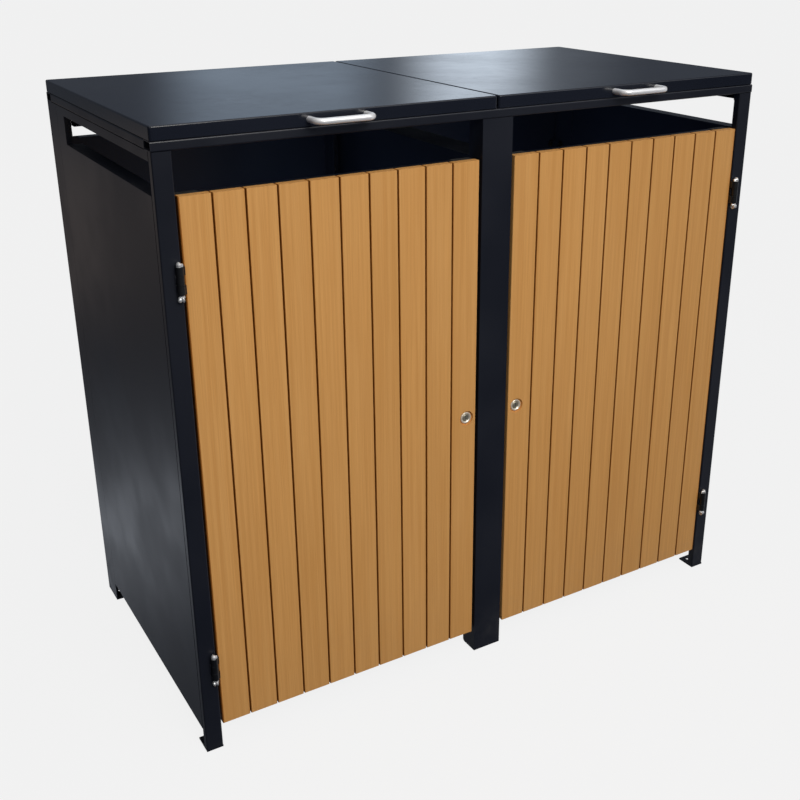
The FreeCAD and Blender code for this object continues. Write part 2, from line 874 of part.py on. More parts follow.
def lid_bumpers():
    """Rubber buffers on the front of the ring, under the lids."""
    top = store_height - sheet - bumper_gap
    y = front + ring_width / 2
    bumpers = []
    for x in (-side + ring_width / 2, -seam_bumper_inset, seam_bumper_inset, side - ring_width / 2):
        bumpers.append(cone("z", ring_top, top, (x, y), bumper_foot, bumper_top))
    return bumpers


def write_frame():
    save_pair("front_post", [corner_front_post()])
    save_pair("back_post", [corner_back_post()])
    save("centre_front_post", [centre_front_post()])
    save("centre_back_post", [centre_back_post()])
    save("front_top_rail", [front_top_rail()])
    save("back_top_rail", [back_top_rail()])
    save_pair("top_rail", [side_top_rail()])
    save_pair("side_panel", [side_panel()])
    save("back_panel", [back_panel()])
    save("centre_partition", [centre_partition()])
    save("panel_nuts", panel_nuts())
    save("lid_bumpers", lid_bumpers())
    save("door_hinge_knuckles", both_sides(frame_knuckle(), door_hinge_places()))
    save("lid_hinge_frame_leaves", both_sides(laid_along_x(lid_frame_leaf()), lid_hinge_places()))
    save("hinge_pins", hinge_pins())


def write_doors():
    save_pair("door_frame", [door_frame()])
    for number in range(slat_count):
        save_pair("slat_%02d" % (number + 1), [slat(number)])
    save_pair("slat_screws", slat_screws())
    save_pair("door_hinge_leaves", [moved(door_leaf(), *place) for place in door_hinge_places()])
    save_pair("lock_housing", [lock_housing(), lock_nut()])
    save_pair("lock_plug", [lock_plug()])
    save_pair("lock_cam", [lock_cam(), cam_screw_shape()])


def write_lids():
    save_pair("lid", [lid()])
    leaf_on_lid = laid_along_x(lid_leaf_shape())
    save_pair("lid_hinge_leaves", [moved(leaf_on_lid, *place) for place in lid_hinge_places()])
    save_pair("lid_handle", [handle()])
    save_pair("handle_screws", handle_screws())


os.makedirs("parts", exist_ok=True)
write_frame()
write_doors()
write_lids()
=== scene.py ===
# %% [markdown]
# A twin litter bin store, dressed for a studio picture. The store is a steel frame with two slatted doors
# and two lifting lids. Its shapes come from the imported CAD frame, which is fixed. This lesson adds what
# CAD leaves out: surfaces, small rounded edges, and finer versions of the handles, locks, pins and
# screws.

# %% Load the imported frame
import bpy, bmesh, math
from mathutils import Matrix, Vector


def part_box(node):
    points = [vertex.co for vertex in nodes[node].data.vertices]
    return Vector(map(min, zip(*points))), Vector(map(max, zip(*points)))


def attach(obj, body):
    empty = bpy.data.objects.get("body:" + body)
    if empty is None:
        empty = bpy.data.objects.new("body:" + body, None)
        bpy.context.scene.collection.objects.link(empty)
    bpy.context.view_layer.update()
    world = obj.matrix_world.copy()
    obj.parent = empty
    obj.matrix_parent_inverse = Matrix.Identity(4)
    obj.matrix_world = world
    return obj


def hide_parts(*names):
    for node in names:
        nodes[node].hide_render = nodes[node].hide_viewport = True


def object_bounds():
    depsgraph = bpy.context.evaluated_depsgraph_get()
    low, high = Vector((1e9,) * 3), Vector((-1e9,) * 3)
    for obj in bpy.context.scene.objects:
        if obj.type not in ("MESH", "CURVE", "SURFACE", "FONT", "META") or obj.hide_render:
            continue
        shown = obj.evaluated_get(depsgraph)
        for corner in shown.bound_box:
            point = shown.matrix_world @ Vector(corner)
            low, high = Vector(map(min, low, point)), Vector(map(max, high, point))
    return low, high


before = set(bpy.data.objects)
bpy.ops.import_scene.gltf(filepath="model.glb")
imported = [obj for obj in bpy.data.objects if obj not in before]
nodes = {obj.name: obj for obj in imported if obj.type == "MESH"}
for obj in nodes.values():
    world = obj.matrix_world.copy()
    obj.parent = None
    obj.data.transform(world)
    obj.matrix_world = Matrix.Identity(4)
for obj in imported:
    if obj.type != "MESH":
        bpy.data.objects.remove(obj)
cad_low, cad_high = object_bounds()
scene = bpy.context.scene
scene.view_settings.view_transform = "Standard"
print("CAD nodes:", len(nodes), "box:", [round(v, 4) for v in (*cad_low, *cad_high)])

# %% [markdown]
# The camera stands in front of the left corner, a little above the lids, as a person would who takes a
# quick picture. A camera can be aimed with a Track To constraint, but a rotation matrix keeps the small
# roll of a hand-held shot, so the three axes of the camera are given directly.

# %% Place the camera
camera_right = Vector((0.85591, -0.51713, -0.00108))
camera_up = Vector((0.1911, 0.31435, 0.92987))
camera_back = Vector((-0.48052, -0.79609, 0.36788))
camera_data = bpy.data.cameras.new("standing_camera")
camera_data.sensor_width = 36
camera_data.lens = 48.78
camera_data.shift_x = -0.0346
camera_data.shift_y = -0.0478
camera = bpy.data.objects.new("standing_camera", camera_data)
turn = Matrix((camera_right, camera_up, camera_back)).transposed().to_4x4()
camera.matrix_world = Matrix.Translation((-1.0352, -1.7897, 1.3273)) @ turn
scene.collection.objects.link(camera)
scene.camera = camera
print("camera at", [round(v, 2) for v in camera.location])

# %% [markdown]
# Every shader in this lesson is a net of nodes. Wiring each node by hand is slow to read, so one small
# helper makes a node, sets its values, and joins whatever sockets it is given. Passing a socket makes a
# link; passing a number or a colour sets the value on the node.

# %% A helper for shader nodes
def add_node(tree, kind, settings=None, **inputs):
    """Makes a node; inputs are named with _ for a space, or in_0, in_1 for sockets that share a name."""
    made = tree.nodes.new("ShaderNode" + kind)
    for key, value in (settings or {}).items():
        setattr(made, key, value)
    for key, value in inputs.items():
        socket = made.inputs[int(key[3:])] if key.startswith("in_") else made.inputs[key.replace("_", " ")]
        if isinstance(value, bpy.types.NodeSocket):
            tree.links.new(value, socket)
        else:
            socket.default_value = value
    return made


def math_node(tree, operation, a, b=0.0, c=0.0, clamp=False):
    """One arithmetic step; gives its output socket."""
    settings = {"operation": operation, "use_clamp": clamp}
    return add_node(tree, "Math", settings, in_0=a, in_1=b, in_2=c).outputs[0]


def ramp_between(tree, value, low, high, to_low=0.0, to_high=1.0):
    """A soft step of a value from one number to another."""
    settings = {"interpolation_type": "SMOOTHSTEP"}
    span = {"From_Min": low, "From_Max": high, "To_Min": to_low, "To_Max": to_high}
    return add_node(tree, "MapRange", settings, Value=value, **span).outputs[0]


def mix_colours(tree, share, first, second):
    """Two colours mixed by a share from 0 to 1."""
    made = tree.nodes.new("ShaderNodeMix")
    made.data_type = "RGBA"
    for socket, value in ((made.inputs[0], share), (made.inputs[6], first), (made.inputs[7], second)):
        if isinstance(value, bpy.types.NodeSocket):
            tree.links.new(value, socket)
        else:
            socket.default_value = (*value, 1.0) if hasattr(value, "__len__") else value
    return made.outputs[2]


def new_group(name, inputs, outputs):
    """A shader node group with named sockets; gives the tree and its two end nodes."""
    tree = bpy.data.node_groups.new(name, "ShaderNodeTree")
    for title, value in inputs:
        socket = tree.interface.new_socket(name=title, in_out="INPUT", socket_type="NodeSocketFloat")
        socket.default_value = value
    for title, kind in outputs:
        tree.interface.new_socket(name=title, in_out="OUTPUT", socket_type="NodeSocket" + kind)
    start = tree.nodes.new("NodeGroupInput")
    end = tree.nodes.new("NodeGroupOutput")
    return tree, start, end


def use_group(tree, group, **values):
    """Places a group in a material with its own values."""
    made = tree.nodes.new("ShaderNodeGroup")
    made.node_tree = group
    for key, value in values.items():
        socket = made.inputs[key.replace("_", " ")]
        if isinstance(value, bpy.types.NodeSocket):
            tree.links.new(value, socket)
        else:
            socket.default_value = value
    return made


def new_material(name):
    """A material with an empty net of shader nodes."""
    made = bpy.data.materials.new(name)
    made.use_nodes = True
    made.node_tree.nodes.clear()
    return made, made.node_tree


def surface(net, colour, roughness, relief, metallic=0.0, specular=0.5):
    """Ends a net with the Principled shader."""
    shader = add_node(net, "BsdfPrincipled", Base_Color=colour, Roughness=roughness, Metallic=metallic)
    shader.inputs["Specular IOR Level"].default_value = specular
    net.links.new(relief.outputs[0], shader.inputs["Normal"])
    add_node(net, "OutputMaterial", Surface=shader.outputs[0])


print("shader helpers ready")

# %% [markdown]
# Dark satin steel is mostly seen by what it mirrors. A workshop gives it one bright doorway behind the
# store, a wide pale wall beside it, and a dull floor. The same things could be built as real walls and
# lamps around the store, but a world shader is lighter: a "soft window" group turns the direction of a
# ray into a mask with soft edges, and the world adds a few of them together.

# %% Build the soft window group
window, window_in, window_out = new_group(
    "Soft window",
    (("Azimuth", 0.0), ("Half Width", 10.0), ("Low", 0.0), ("High", 30.0), ("Softness", 4.0)),
    (("Mask", "Float"),),
)
ray = add_node(window, "SeparateXYZ", in_0=add_node(window, "TexCoord").outputs["Generated"])
azimuth = math_node(window, "ARCTAN2", ray.outputs[0], ray.outputs[1])
azimuth = math_node(window, "DEGREES", azimuth)
elevation = math_node(window, "DEGREES", math_node(window, "ARCSINE", ray.outputs[2]))
offset = math_node(window, "SUBTRACT", azimuth, window_in.outputs["Azimuth"])
offset = math_node(window, "ABSOLUTE", math_node(window, "WRAP", offset, 180.0, -180.0))
softness = window_in.outputs["Softness"]
half_soft = math_node(window, "MULTIPLY", softness, 0.5)
half_width = window_in.outputs["Half Width"]
across = ramp_between(
    window,
    offset,
    math_node(window, "SUBTRACT", half_width, half_soft),
    math_node(window, "ADD", half_width, half_soft),
    1.0,
    0.0,
)
low, high = window_in.outputs["Low"], window_in.outputs["High"]
above = ramp_between(window, elevation, math_node(window, "SUBTRACT", low, softness), low)
below = ramp_between(window, elevation, high, math_node(window, "ADD", high, softness), 1.0, 0.0)
mask = math_node(window, "MULTIPLY", across, math_node(window, "MULTIPLY", above, below))
window.links.new(mask, window_out.inputs["Mask"])
print("soft window sockets:", [socket.name for socket in window.interface.items_tree])

# %% [markdown]
# The world starts with a weak even glow, so that no side of the store is quite black. Each window is then
# added to the light so far, with a strength and a tint of its own.

# %% Start the world with an even glow
pale_backdrop = 0.8796
world = bpy.data.worlds.new("workshop_glow")
world.use_nodes = True
scene.world = world
sky = world.node_tree
sky.nodes.clear()
even_glow = add_node(sky, "RGB").outputs[0]
even_glow.default_value = (0.023, 0.026, 0.037, 1)
daylight = (0.84, 0.95, 1.08)
sky_blue = (0.74, 0.92, 1.14)
lamp_white = (0.92, 0.96, 1.04)
plain_white = (0.97, 0.98, 1.0)
floor_grey, floor_brown, dim_blue = (0.88, 0.94, 1.04), (1.14, 0.87, 0.68), (0.80, 0.90, 1.25)


def hang_window(light, toward, half_width, low, high, softness, strength, tint):
    """Adds a soft window to the light so far, in degrees; 0 looks from the doors to the back."""
    sides = {"Azimuth": toward, "Half_Width": half_width, "Low": low, "High": high}
    placed = use_group(sky, window, Softness=softness, **sides)
    share = math_node(sky, "MULTIPLY", placed.outputs[0], strength)
    tinted = add_node(sky, "VectorMath", {"operation": "SCALE"}, in_0=tint, Scale=share).outputs[0]
    return add_node(sky, "VectorMath", {"operation": "ADD"}, in_0=light, in_1=tinted).outputs[0]


print("even glow:", [round(v, 3) for v in even_glow.default_value])

# %% [markdown]
# The lids lie flat and are seen at a low angle, so they mirror what stands behind the store. A bright
# doorway with a soft edge draws the sharp band of light across both lids, and the pale wall next to it
# fills the left one.

# %% Hang the doorway and the walls
light = hang_window(even_glow, 33.4, 2.6, low=2, high=40, softness=4, strength=1.08, tint=daylight)
light = hang_window(light, 35, 5, low=2, high=40, softness=5, strength=0.11, tint=daylight)
light = hang_window(light, 23.3, 4.8, low=0, high=34, softness=4, strength=0.36, tint=sky_blue)
light = hang_window(light, 20, 60, low=-2, high=34, softness=30, strength=0.055, tint=daylight)
light = hang_window(light, 100, 40, low=12, high=60, softness=14, strength=0.10, tint=lamp_white)
print("doorway, its side light and three walls are up")

# %% [markdown]
# The doors and posts face the room that the viewer stands in. A row of lamps high on the right models the
# folded edges, a warmer front room fills from the left, and the ceiling lights the lids from above.

# %% Hang the lamps, the front room and the ceiling
light = hang_window(light, 134, 14, low=24, high=62, softness=12, strength=1.10, tint=lamp_white)
light = hang_window(light, 195, 60, low=14, high=75, softness=16, strength=0.40, tint=(1.0, 0.96, 0.92))
light = hang_window(light, 0, 200, low=60, high=95, softness=20, strength=0.55, tint=plain_white)
print("room is lit")

# %% [markdown]
# Upright panels mirror the floor around the store. A floor is never even: light from a door lies on it as
# a bright patch, it is brown far away and dim close by. These patches give the side panels their slow
# bands of light.

# %% Light the floor in patches
light = hang_window(light, -12, 26, low=-30.5, high=-28.1, softness=2.5, strength=0.53, tint=floor_grey)
light = hang_window(light, -20, 45, low=-31, high=-23.7, softness=3, strength=0.11, tint=floor_grey)
light = hang_window(light, -20, 45, low=-16.5, high=-11, softness=3, strength=0.115, tint=floor_brown)
light = hang_window(light, -20, 45, low=-60, high=-36, softness=6, strength=0.06, tint=floor_grey)
light = hang_window(light, 92, 30, low=-50, high=-9, softness=8, strength=0.42, tint=plain_white)
light = hang_window(light, 42, 20, low=-60, high=-14, softness=10, strength=0.32, tint=plain_white)
light = hang_window(light, 160, 60, low=-40, high=10, softness=16, strength=0.035, tint=dim_blue)
print("floor patches are lit")

# %% [markdown]
# The Light Path node tells the camera's own rays from all the others. Those see the pale backdrop; rays
# that bounced off a piece see the windows. It stays here in the world, where it is allowed to choose
# between shaders.

# %% Show the camera an even backdrop
lit = add_node(sky, "Background", Color=light)
seen = add_node(sky, "Background", Color=(pale_backdrop, pale_backdrop, pale_backdrop, 1))
from_camera = add_node(sky, "LightPath").outputs["Is Camera Ray"]
which = add_node(sky, "MixShader", Fac=from_camera, in_1=lit.outputs[0], in_2=seen.outputs[0])
add_node(sky, "OutputWorld", Surface=which.outputs[0])
print("world nodes:", len(sky.nodes))

# %% [markdown]
# The floor is plain and pale. It glows by itself to stay even out to the edge of the picture, and
# takes a little light as well, so that the feet get a faint contact shade. It is hidden from mirror and
# bounce rays, which would otherwise turn the dark steel pale from below.

# %% Lay the floor
bpy.ops.mesh.primitive_plane_add(size=120, location=(0, 0, cad_low.z))
floor = bpy.context.object
floor.name = "studio_floor"
floor.visible_glossy = False
floor.visible_diffuse = False
paper, net = new_material("pale_floor")
shade_share, room_on_floor = 0.045, 0.62
own_glow = pale_backdrop - shade_share * room_on_floor
emit = add_node(net, "Emission", Color=(own_glow, own_glow, own_glow, 1))
matte = add_node(net, "BsdfDiffuse", Color=(shade_share, shade_share, shade_share, 1))
total = add_node(net, "AddShader", in_0=emit.outputs[0], in_1=matte.outputs[0])
add_node(net, "OutputMaterial", Surface=total.outputs[0])
floor.data.materials.append(paper)
print("floor at z", round(cad_low.z, 4))

# %% [markdown]
# One large soft lamp hangs high in front of the doors, where a workshop has its roof lights. It makes the
# boards brighter near the top than near the feet, and it draws a thin line of light along the folded
# edges of the lids. A sun lamp would light the doors evenly, so an area lamp near the store is the better
# choice, and a narrow spread lets its light fade towards the outer boards. A store has no floor of its
# own, so pale ground throws a little light up inside it; a weak hidden lamp above the middle does that.

# %% Hang the roof light
def soft_lamp(name, place, aim, width, height, watts, tint, spread=180):
    """An area lamp that looks from its place to a point."""
    data = bpy.data.lights.new(name, "AREA")
    data.shape = "RECTANGLE"
    data.size, data.size_y = width, height
    data.energy = watts
    data.color = tint
    data.spread = math.radians(spread)
    lamp = bpy.data.objects.new(name, data)
    lamp.location = place
    lamp.rotation_euler = (Vector(aim) - Vector(place)).to_track_quat("-Z", "Y").to_euler()
    scene.collection.objects.link(lamp)
    return lamp


warm_white, pale_blue = (1.0, 0.98, 0.93), (0.55, 0.74, 1.0)
above_doors, door_middle = (-0.2, -2.7, 2.5), (-0.13, -0.3, 0.55)
roof_light = soft_lamp("roof_light", above_doors, door_middle, 1.4, 1.1, 12.8, warm_white, spread=80)
inner_glow = soft_lamp("glow_inside_store", (0, 0, 0.68), (0, 0, 1), 1.0, 0.45, 2.8, pale_blue)
inner_glow.visible_camera = False
inner_glow.visible_glossy = False
print("lamps:", roof_light.name, inner_glow.name)

# %% [markdown]
# Powder coat is paint that is sprayed on as dust and baked. It melts into a skin with a very fine ripple,
# like orange peel, and its gloss changes a little from place to place. A noise texture in the piece's own
# coordinates gives both, at a real scale of about two millimetres, and it stays on the piece when a door
# or lid moves.

# %% Build the powder coat group
powder, powder_in, powder_out = new_group(
    "Powder coat skin",
    (("Ripple Size", 0.002), ("Cloud Size", 0.25)),
    (("Ripple", "Float"), ("Cloud", "Float")),
)
here = add_node(powder, "TexCoord").outputs["Object"]
ripple_scale = math_node(powder, "DIVIDE", 1.0, powder_in.outputs["Ripple Size"])
cloud_scale = math_node(powder, "DIVIDE", 1.0, powder_in.outputs["Cloud Size"])
ripple = add_node(powder, "TexNoise", Vector=here, Scale=ripple_scale, Detail=1.5, Roughness=0.5)
cloud = add_node(powder, "TexNoise", Vector=here, Scale=cloud_scale, Detail=3.0, Roughness=0.55)
powder.links.new(ripple.outputs[0], powder_out.inputs["Ripple"])
powder.links.new(ramp_between(powder, cloud.outputs[0], 0.32, 0.68), powder_out.inputs["Cloud"])
print("powder coat group:", len(powder.nodes), "nodes")

# %% [markdown]
# Corners and folded edges rub bright first. The Bevel shader node gives the normal that a rounded edge
# would have; where it differs from the true normal there is an edge. Noise breaks the line up, since wear
# is patchy. Painting wear by hand would also work, but this finds each edge of each piece by itself.

# %% Build the edge wear group
# On the black powder coats this same edge mask also paints a highlight line along the folded edges.
edge_wear_and_highlight, wear_in, wear_out = new_group(
    "Edge wear and highlight",
    (("Reach", 0.0015), ("Patch Size", 0.03), ("Cover", 0.5)),
    (("Wear And Highlight", "Float"),),
)
softened = add_node(edge_wear_and_highlight, "Bevel", {"samples": 4}, Radius=wear_in.outputs["Reach"]).outputs[0]
true_normal = add_node(edge_wear_and_highlight, "NewGeometry").outputs["True Normal"]
alike = add_node(edge_wear_and_highlight, "VectorMath", {"operation": "DOT_PRODUCT"}, in_0=softened, in_1=true_normal)
edge = ramp_between(edge_wear_and_highlight, alike.outputs["Value"], 0.985, 0.85)
patch_scale = math_node(edge_wear_and_highlight, "DIVIDE", 1.0, wear_in.outputs["Patch Size"])
here = add_node(edge_wear_and_highlight, "TexCoord").outputs["Object"]
patch = add_node(edge_wear_and_highlight, "TexNoise", Vector=here, Scale=patch_scale, Detail=4.0, Roughness=0.65).outputs[0]
start = math_node(edge_wear_and_highlight, "SUBTRACT", 0.75, math_node(edge_wear_and_highlight, "MULTIPLY", wear_in.outputs["Cover"], 0.45))
patch = ramp_between(edge_wear_and_highlight, patch, start, math_node(edge_wear_and_highlight, "ADD", start, 0.12))
edge_wear_and_highlight.links.new(math_node(edge_wear_and_highlight, "MULTIPLY", edge, patch), wear_out.inputs["Wear And Highlight"])
print("edge wear group:", len(edge_wear_and_highlight.nodes), "nodes")

# %% [markdown]
# Dust settles on what faces up, and rain splashes grit on the lowest hand's breadth of a thing that
# stands outdoors. Both are thin. The group gives one mask: the upward share of the normal times a cloudy
# noise, plus a band that fades out above the floor.

# %% Build the dust group
dust, dust_in, dust_out = new_group(
    "Settled dust",
    (("Settled", 0.5), ("Splash Height", 0.12), ("Splash", 0.4)),
    (("Dust", "Float"),),
)
here = add_node(dust, "TexCoord").outputs["Object"]
facing = add_node(dust, "SeparateXYZ", in_0=add_node(dust, "TexCoord").outputs["Normal"]).outputs[2]
height = add_node(dust, "SeparateXYZ", in_0=here).outputs[2]
speck = add_node(dust, "TexNoise", Vector=here, Scale=45.0, Detail=8.0, Roughness=0.7).outputs[0]
haze = add_node(dust, "TexNoise", Vector=here, Scale=5.0, Detail=4.0, Roughness=0.6).outputs[0]
speck, haze = ramp_between(dust, speck, 0.35, 0.75), ramp_between(dust, haze, 0.3, 0.75)
cloudy = math_node(dust, "MULTIPLY", speck, haze)
up = math_node(dust, "MULTIPLY", ramp_between(dust, facing, 0.3, 1.0), dust_in.outputs["Settled"])
near_floor = ramp_between(dust, height, dust_in.outputs["Splash Height"], 0.0)
near_floor = math_node(dust, "MULTIPLY", near_floor, dust_in.outputs["Splash"])
cover = math_node(dust, "MULTIPLY", cloudy, math_node(dust, "ADD", up, near_floor), clamp=True)
dust.links.new(cover, dust_out.inputs["Dust"])
print("dust group:", len(dust.nodes), "nodes")

# %% [markdown]
# Drawn rod, turned pins and plated screws all carry fine lines from the tool. Stretching a noise along
# one direction makes such lines. The group takes the stretch as three numbers, one for each axis.

# %% Build the fine lines group
lines, lines_in, lines_out = new_group(
    "Fine tool lines",
    (("Across X", 400.0), ("Across Y", 400.0), ("Across Z", 400.0)),
    (("Line", "Float"),),
)
here = add_node(lines, "TexCoord").outputs["Object"]
stretch = add_node(
    lines,
    "CombineXYZ",
    X=lines_in.outputs["Across X"],
    Y=lines_in.outputs["Across Y"],
    Z=lines_in.outputs["Across Z"],
).outputs[0]
stretched = add_node(lines, "VectorMath", {"operation": "MULTIPLY"}, in_0=here, in_1=stretch).outputs[0]
line = add_node(lines, "TexNoise", Vector=stretched, Scale=1.0, Detail=3.0, Roughness=0.6).outputs[0]
lines.links.new(ramp_between(lines, line, 0.3, 0.7), lines_out.inputs["Line"])
print("fine lines group:", len(lines.nodes), "nodes")

# %% [markdown]
# The frame, panels and doors' back frames are powder coated in a black with a little blue in it. The
# Principled shader stays in the material; the groups feed its colour, roughness and bump. Edges show a
# lighter grey that is partly wear and partly a painted highlight line, dust shows warm grey and takes the
# gloss away.

# %% Mix the black powder coat
rubbed_and_highlight_grey, dust_grey = (0.075, 0.08, 0.09), (0.14, 0.13, 0.115)


def coated_steel(name, body, cloudy_body, roughness, ripple_height, wear_and_highlight_cover, settled, splash):
    """Powder coat: two body tones, a range of roughness, ripple in millimetres, edge wear with a painted
    highlight line, and dust.
    """
    paint, net = new_material(name)
    skin = use_group(net, powder, Ripple_Size=0.0022, Cloud_Size=0.3)
    edges = use_group(net, edge_wear_and_highlight, Reach=0.0012, Patch_Size=0.03, Cover=wear_and_highlight_cover)
    dusty = use_group(net, dust, Settled=settled, Splash_Height=0.14, Splash=splash)
    colour = mix_colours(net, skin.outputs["Cloud"], body, cloudy_body)
    # painted highlight: edges are mixed towards a lighter grey, partly as wear and partly to stand in for
    # light on the folded edges
    colour = mix_colours(net, math_node(net, "MULTIPLY", edges.outputs[0], 0.5), colour, rubbed_and_highlight_grey)
    colour = mix_colours(net, math_node(net, "MULTIPLY", dusty.outputs[0], 0.35), colour, dust_grey)
    gloss = ramp_between(net, skin.outputs["Cloud"], 0.0, 1.0, roughness[0], roughness[1])
    gloss = math_node(net, "ADD", gloss, math_node(net, "MULTIPLY", dusty.outputs[0], 0.25))
    ripple_metres = ripple_height / 1000
    relief = add_node(net, "Bump", Strength=0.35, Distance=ripple_metres, Height=skin.outputs["Ripple"])
    surface(net, colour, gloss, relief)
    return paint


black_powder = coated_steel(
    "black_powder_coat",
    body=(0.0060, 0.0074, 0.0125),
    cloudy_body=(0.0085, 0.0100, 0.0160),
    roughness=(0.30, 0.38),
    ripple_height=0.05,
    wear_and_highlight_cover=0.45,
    settled=0.5,
    splash=0.5,
)
lid_powder = coated_steel(
    "lid_powder_coat",
    body=(0.0065, 0.0085, 0.0145),
    cloudy_body=(0.0090, 0.0110, 0.0180),
    roughness=(0.15, 0.20),
    ripple_height=0.02,
    wear_and_highlight_cover=0.4,
    settled=0.25,
    splash=0.0,
)
hinge_black = coated_steel(
    "hinge_black",
    body=(0.0025, 0.0030, 0.0038),
    cloudy_body=(0.0045, 0.0050, 0.0060),
    roughness=(0.34, 0.46),
    ripple_height=0.03,
    wear_and_highlight_cover=0.6,
    settled=0.1,
    splash=0.2,
)
print("coats:", black_powder.name, lid_powder.name, hinge_black.name)

# %% [markdown]
# The slats are wood composite: honey coloured, matt, brushed along their length so that fine grain lines
# run up and down, and each board a little lighter or darker than the next. The board number comes from
# the distance to the middle of the store, divided by the width of a board; a white noise texture turns
# that number into a tone.

# %% Build the long grain group
first_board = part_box("left_slat_03")
next_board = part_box("left_slat_04")
board_pitch = next_board[0].x - first_board[0].x
door_edge = abs(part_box("left_slat_10")[1].x)
grain, grain_in, grain_out = new_group(
    "Long board grain",
    (("Board Pitch", 0.05), ("Door Edge", 0.03)),
    tuple((title, "Float") for title in ("Board Tone", "Streak", "Fine Line", "Mottle", "Joint")),
)
here = add_node(grain, "TexCoord").outputs["Object"]
parts = add_node(grain, "SeparateXYZ", in_0=here)
from_middle = math_node(grain, "ABSOLUTE", parts.outputs[0])
away = math_node(grain, "SUBTRACT", from_middle, grain_in.outputs["Door Edge"])
number = math_node(grain, "FLOOR", math_node(grain, "DIVIDE", away, grain_in.outputs["Board Pitch"]))
side_sign = math_node(grain, "MULTIPLY", math_node(grain, "SIGN", parts.outputs[0]), 31.0)
number = math_node(grain, "ADD", number, side_sign)
tone = add_node(grain, "TexWhiteNoise", {"noise_dimensions": "1D"}, W=number).outputs["Value"]
shifted_z = math_node(grain, "ADD", parts.outputs[2], math_node(grain, "MULTIPLY", number, 3.7))
board_place = add_node(grain, "CombineXYZ", X=parts.outputs[0], Y=parts.outputs[1], Z=shifted_z).outputs[0]


def grain_noise(across, along, detail, roughness):
    """Noise stretched along the board: how many changes in a metre across it and along it."""
    stretch = (across, across, along)
    scaled = add_node(grain, "VectorMath", {"operation": "MULTIPLY"}, in_0=board_place, in_1=stretch)
    settings = {"Scale": 1.0, "Detail": detail, "Roughness": roughness}
    return add_node(grain, "TexNoise", Vector=scaled.outputs[0], **settings).outputs[0]


streak = ramp_between(grain, grain_noise(150, 2.2, 4, 0.6), 0.3, 0.7)
fine = ramp_between(grain, grain_noise(900, 9, 3, 0.65), 0.3, 0.7)
mottle = ramp_between(grain, grain_noise(14, 3, 3, 0.5), 0.3, 0.7)
# The joint mask is a thin band along each board edge; the brown tint laid on it is partly dirt and partly
# painted shade in the groove.
share = math_node(grain, "FRACT", math_node(grain, "DIVIDE", away, grain_in.outputs["Board Pitch"]))
from_joint = math_node(grain, "MINIMUM", share, math_node(grain, "SUBTRACT", 1.0, share))
from_joint = math_node(grain, "MULTIPLY", from_joint, grain_in.outputs["Board Pitch"])
joint_dirt_and_shade = ramp_between(grain, from_joint, 0.0027, 0.0012)
joint_dirt_and_shade = math_node(grain, "MULTIPLY", joint_dirt_and_shade, ramp_between(grain, away, 0.004, 0.006))
made_masks = {"Board Tone": tone, "Streak": streak, "Fine Line": fine, "Mottle": mottle, "Joint": joint_dirt_and_shade}
for title, value in made_masks.items():
    grain.links.new(value, grain_out.inputs[title])
print("board pitch", round(board_pitch, 4), "first edge", round(door_edge, 4))

# %% [markdown]
# The boards start from two honey tones along the streaks. One thin tint after another is laid over them:
# dark lines, the board's own tone, pale mottle, rubbed edges, dust, and a brown tint down each joint that
# is partly dirt and partly painted shade in the groove.

# %% Mix the honey composite
honey, net = new_material("honey_composite")
boards = use_group(net, grain, Board_Pitch=board_pitch, Door_Edge=door_edge)
edges = use_group(net, edge_wear_and_highlight, Reach=0.0012, Patch_Size=0.05, Cover=0.3)
dusty = use_group(net, dust, Settled=0.3, Splash_Height=0.22, Splash=0.6)
colour = mix_colours(net, boards.outputs["Streak"], (0.615, 0.293, 0.080), (0.695, 0.352, 0.106))


def tinted(colour, mask, share, tint):
    """Lays a tint over the board colour where a mask is bright."""
    return mix_colours(net, math_node(net, "MULTIPLY", mask, share), colour, tint)


colour = tinted(colour, boards.outputs["Fine Line"], 0.22, (0.40, 0.18, 0.048))
colour = tinted(colour, boards.outputs["Board Tone"], 0.16, (0.46, 0.225, 0.062))
colour = tinted(colour, boards.outputs["Mottle"], 0.10, (0.72, 0.42, 0.17))
colour = tinted(colour, edges.outputs[0], 0.4, (0.74, 0.50, 0.26))
colour = tinted(colour, dusty.outputs[0], 0.3, (0.33, 0.25, 0.17))
# painted shade and dirt: the band along each joint is darkened to a deep brown
colour = tinted(colour, boards.outputs["Joint"], 0.95, (0.250, 0.076, 0.002))
gloss = ramp_between(net, boards.outputs["Streak"], 0.0, 1.0, 0.50, 0.62)
relief = math_node(net, "MULTIPLY", boards.outputs["Streak"], 0.8)
relief = math_node(net, "ADD", boards.outputs["Fine Line"], relief)
relief = add_node(net, "Bump", Strength=0.5, Distance=0.00025, Height=relief)
surface(net, colour, gloss, relief, specular=0.35)
print("board colour ready:", honey.name)

# %% [markdown]
# Some metal is left bare. The handles are anodised aluminium, silky and almost white. The lock rim is a
# warm chrome with fine scratches, and its plug a darker nickel. Pins and screws are zinc plated, bright
# with duller patches, while the nuts inside get a much darker copy of the zinc as painted shade. One
# function makes them all: they differ in colour, roughness, line direction and in how metallic they are,
# because haze on a plated skin scatters some light.

